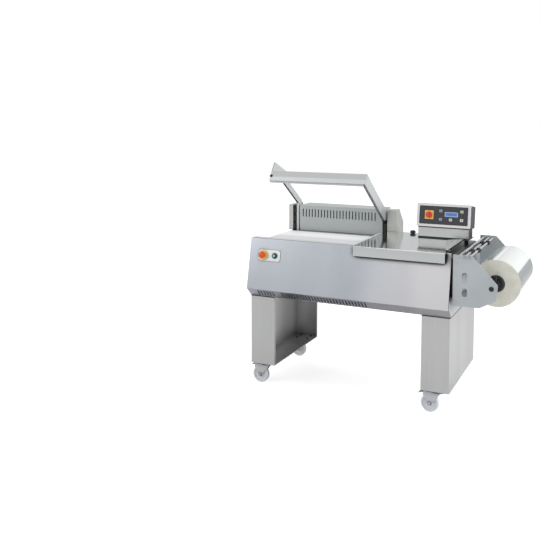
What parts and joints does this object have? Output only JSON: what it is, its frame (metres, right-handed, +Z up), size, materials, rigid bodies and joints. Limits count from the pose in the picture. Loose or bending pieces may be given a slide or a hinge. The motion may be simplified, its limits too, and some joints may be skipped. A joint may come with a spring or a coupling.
{
  "type": "l-bar sealer",
  "caption": "Wheeled stainless L-bar film sealer: lifting sealing frame over a belt conveyor, polished product table, control console and film reel stand.",
  "frame": {"origin": "on the floor, in the middle of the whole machine's footprint", "axes": "+X along the machine, from the belt end towards the film reel; +Y from the operator's side to the back; +Z up"},
  "size_m": [1.574, 0.7847, 1.3305],
  "materials": {
    "cabinet_steel": "brushed, fine vertical grain",
    "leg_steel": "brushed",
    "inner_steel": "satin grey",
    "cover_paint": "satin light grey",
    "housing_paint": "satin grey",
    "table_steel": "mirror polished",
    "frame_alu": "satin",
    "blade_steel": "coated",
    "jaw_alu": "satin",
    "jaw_silicone": "matt",
    "belt": "matt",
    "roller_steel": "turned",
    "zinc": "bright zinc",
    "nylon": "smooth",
    "black_plastic": "matt",
    "console_paint": "satin dark grey",
    "bezel_steel": "brushed",
    "membrane": "satin foil",
    "yellow_plastic": "satin",
    "red_plastic": "gloss",
    "green_plastic": "gloss",
    "button_plate_paint": "satin",
    "chrome_rod": "polished",
    "reel_plate_paint": "satin light grey",
    "mount_black": "satin black",
    "film": "satin film winding",
    "opener_steel": "satin",
    "switch_grey": "matt"
  },
  "bodies": {
    "cabinet": {"left_leg": "leg_steel", "right_leg": "leg_steel", "castor_plates": "zinc", "front_panel": "cabinet_steel", "rear_panel": "cabinet_steel", "left_end_panel": "cabinet_steel", "right_end_panel": "cabinet_steel", "base_pan": "leg_steel", "top_plate": "cabinet_steel", "cross_beams": "inner_steel", "conveyor_frame": "inner_steel", "conveyor_belt": "belt", "sealing_jaws": "jaw_alu", "jaw_pads": "jaw_silicone", "hinge_bearings": "inner_steel", "rear_housing": "housing_paint", "left_hinge_cover": "cover_paint", "right_hinge_cover": "cover_paint", "frame_switches": "switch_grey", "product_table": "table_steel", "film_opener": "opener_steel", "control_housing": "console_paint", "control_bezel": "bezel_steel", "control_membrane": "membrane", "switch_plate": "yellow_plastic", "control_neck": "cover_paint", "button_plate": "button_plate_paint", "button_collars": "yellow_plastic", "reel_mount": "mount_black", "reel_web": "reel_plate_paint", "reel_plate_front": "reel_plate_paint", "reel_plate_back": "reel_plate_paint"},
    "sealing_frame": {"frame_front_bar": "frame_alu", "frame_right_arm": "frame_alu", "frame_left_arm": "frame_alu", "frame_gusset": "frame_alu", "sealing_blades": "blade_steel", "hinge_shaft": "chrome_rod"},
    "drive_roller": {"drive_roller": "roller_steel"},
    "idler_roller": {"idler_roller": "roller_steel"},
    "main_switch": {"switch_knob": "red_plastic"},
    "emergency_stop": {"emergency_button": "red_plastic"},
    "start_button": {"start_button": "green_plastic"},
    "clamp_knob": {"clamp_knob": "black_plastic"},
    "film_spool": {"reel_shaft": "chrome_rod", "reel_cones": "black_plastic", "film_reel": "film"},
    "guide_rod": {"guide_rod": "chrome_rod"},
    "needle_shaft": {"needle_shaft": "chrome_rod"},
    "counter_shaft": {"counter_shaft": "chrome_rod"},
    "fork_front_left": {"castor_fork_front_left": "zinc"},
    "wheel_front_left": {"castor_wheel_front_left": "nylon"},
    "fork_front_right": {"castor_fork_front_right": "zinc"},
    "wheel_front_right": {"castor_wheel_front_right": "nylon"},
    "fork_rear_left": {"castor_fork_rear_left": "zinc"},
    "wheel_rear_left": {"castor_wheel_rear_left": "nylon"},
    "fork_rear_right": {"castor_fork_rear_right": "zinc"},
    "wheel_rear_right": {"castor_wheel_rear_right": "nylon"},
    "pedal_front_left": {"brake_pedal_front_left": "black_plastic"},
    "pedal_front_right": {"brake_pedal_front_right": "black_plastic"}
  },
  "joints": [
    {"name": "frame_hinge", "type": "hinge", "parent": "cabinet", "child": "sealing_frame", "pos_m": [-0.4185, 0.2655, 0.813], "axis": [1, 0, 0], "range_deg": [0, 35], "stiffness_Nm_per_rad": 14, "springref_deg": -85.94},
    {"name": "drive_roller_spin", "type": "hinge", "parent": "cabinet", "child": "drive_roller", "pos_m": [-0.7487, -0.0425, 0.8387], "axis": [0, 1, 0], "continuous": true},
    {"name": "idler_roller_spin", "type": "hinge", "parent": "cabinet", "child": "idler_roller", "pos_m": [-0.1563, -0.0425, 0.8387], "axis": [0, 1, 0], "continuous": true},
    {"name": "main_switch_turn", "type": "hinge", "parent": "cabinet", "child": "main_switch", "pos_m": [0.208, 0.10261, 1.03227], "axis": [0, 0.9895, -0.1444], "range_deg": [0, 90]},
    {"name": "emergency_stop_push", "type": "slide", "parent": "cabinet", "child": "emergency_stop", "axis": [0, 0.9796, -0.2009], "range_m": [0, 0.005]},
    {"name": "start_button_push", "type": "slide", "parent": "cabinet", "child": "start_button", "axis": [0, 0.9796, -0.2009], "range_m": [0, 0.004], "stiffness_N_per_m": 400, "springref_m": -0.003},
    {"name": "clamp_knob_turn", "type": "hinge", "parent": "cabinet", "child": "clamp_knob", "pos_m": [0.072, 0.2265, 0.8933], "axis": [0, 0, 1], "continuous": true},
    {"name": "film_spool_spin", "type": "hinge", "parent": "cabinet", "child": "film_spool", "pos_m": [0.66, 0.0025, 0.728], "axis": [0, 1, 0], "continuous": true},
    {"name": "guide_rod_spin", "type": "hinge", "parent": "cabinet", "child": "guide_rod", "pos_m": [0.486, 0.0025, 0.88], "axis": [0, 1, 0], "continuous": true},
    {"name": "needle_shaft_spin", "type": "hinge", "parent": "cabinet", "child": "needle_shaft", "pos_m": [0.542, 0.0025, 0.88], "axis": [0, 1, 0], "continuous": true},
    {"name": "counter_shaft_spin", "type": "hinge", "parent": "cabinet", "child": "counter_shaft", "pos_m": [0.518, 0.0025, 0.88], "axis": [0, 1, 0], "continuous": true},
    {"name": "castor_swivel_front_left", "type": "hinge", "parent": "cabinet", "child": "fork_front_left", "pos_m": [-0.6835, -0.2875, 0.112], "axis": [0, 0, 1], "continuous": true},
    {"name": "wheel_spin_front_left", "type": "hinge", "parent": "fork_front_left", "child": "wheel_front_left", "pos_m": [-0.7195, -0.2875, 0.05], "axis": [0, 1, 0], "continuous": true},
    {"name": "brake_front_left", "type": "hinge", "parent": "fork_front_left", "child": "pedal_front_left", "pos_m": [-0.7475, -0.2875, 0.1012], "axis": [0, -1, 0], "range_deg": [0, 12]},
    {"name": "castor_swivel_front_right", "type": "hinge", "parent": "cabinet", "child": "fork_front_right", "pos_m": [0.3665, -0.2875, 0.112], "axis": [0, 0, 1], "continuous": true},
    {"name": "wheel_spin_front_right", "type": "hinge", "parent": "fork_front_right", "child": "wheel_front_right", "pos_m": [0.3305, -0.2875, 0.05], "axis": [0, 1, 0], "continuous": true},
    {"name": "brake_front_right", "type": "hinge", "parent": "fork_front_right", "child": "pedal_front_right", "pos_m": [0.3025, -0.2875, 0.1012], "axis": [0, -1, 0], "range_deg": [0, 12]},
    {"name": "castor_swivel_rear_left", "type": "hinge", "parent": "cabinet", "child": "fork_rear_left", "pos_m": [-0.6835, 0.2525, 0.112], "axis": [0, 0, 1], "continuous": true},
    {"name": "wheel_spin_rear_left", "type": "hinge", "parent": "fork_rear_left", "child": "wheel_rear_left", "pos_m": [-0.7195, 0.2525, 0.05], "axis": [0, 1, 0], "continuous": true},
    {"name": "castor_swivel_rear_right", "type": "hinge", "parent": "cabinet", "child": "fork_rear_right", "pos_m": [0.3665, 0.2525, 0.112], "axis": [0, 0, 1], "continuous": true},
    {"name": "wheel_spin_rear_right", "type": "hinge", "parent": "fork_rear_right", "child": "wheel_rear_right", "pos_m": [0.3305, 0.2525, 0.05], "axis": [0, 1, 0], "continuous": true}
  ],
  "couplings": [
    {"joint": "idler_roller_spin", "follows": "drive_roller_spin", "ratio": 1}
  ]
}
